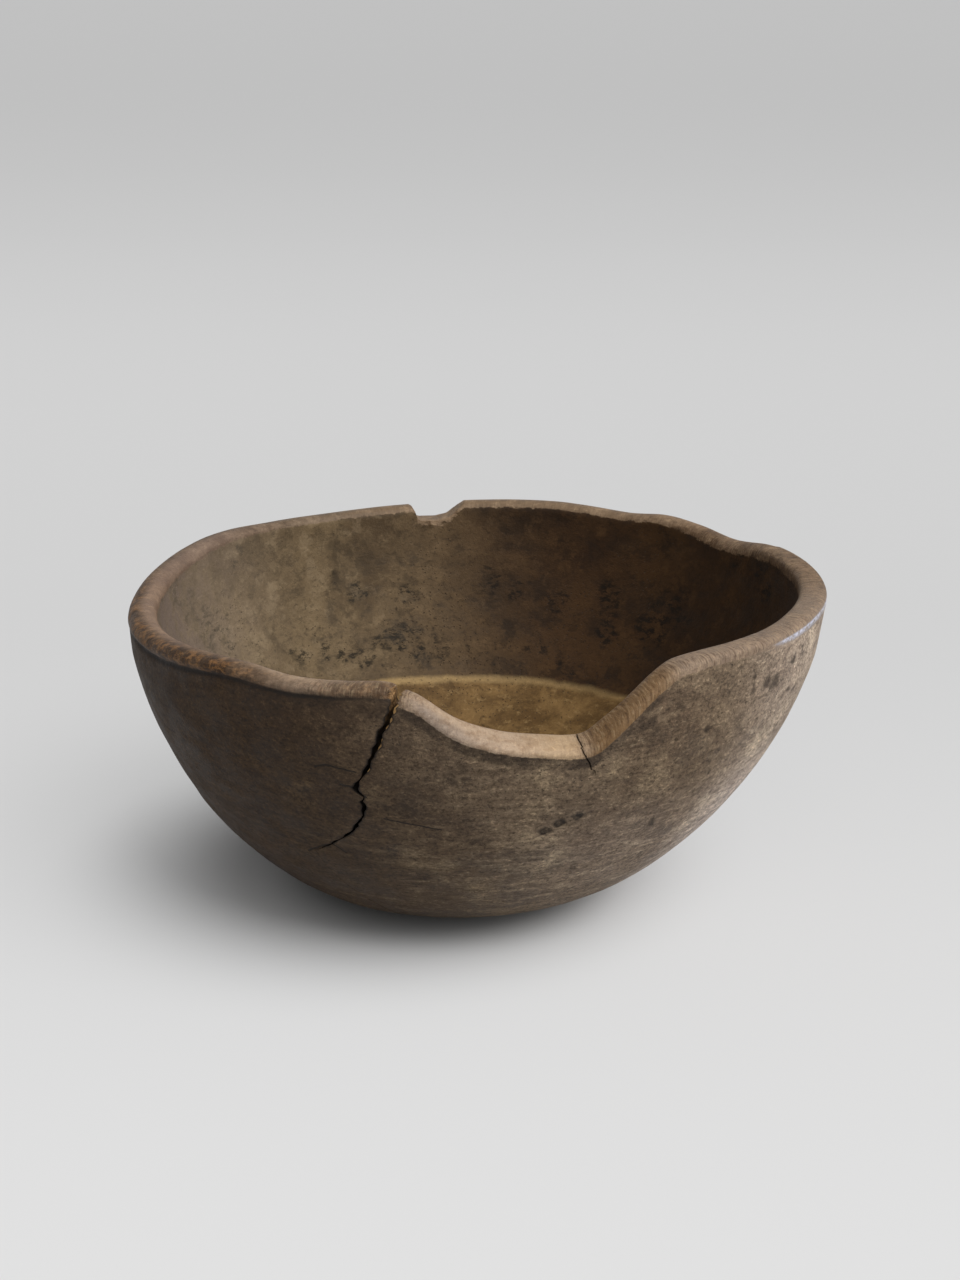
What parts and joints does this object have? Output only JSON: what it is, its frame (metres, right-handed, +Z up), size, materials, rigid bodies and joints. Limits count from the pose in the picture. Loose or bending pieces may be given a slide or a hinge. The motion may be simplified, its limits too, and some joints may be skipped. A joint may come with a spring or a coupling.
{
  "type": "cracked wooden bowl",
  "caption": "Hand-carved round wooden bowl with a worn, wavy rim, a wide dip broken out of its front, a chip at the back and a jagged crack down its wall.",
  "frame": {"origin": "on the ground under the middle of the rim, at the bottom centre of the bowl", "axes": "+Z up, -Y towards the front with the broken dip, +X to the right seen from the front"},
  "size_m": [0.3298, 0.3278, 0.154],
  "materials": {
    "weathered_wood": "dry, worn, handled wood with dirt in the grain and a dull polish on the lip"
  },
  "bodies": {
    "root": {"bowl": "weathered_wood"}
  },
  "joints": []
}
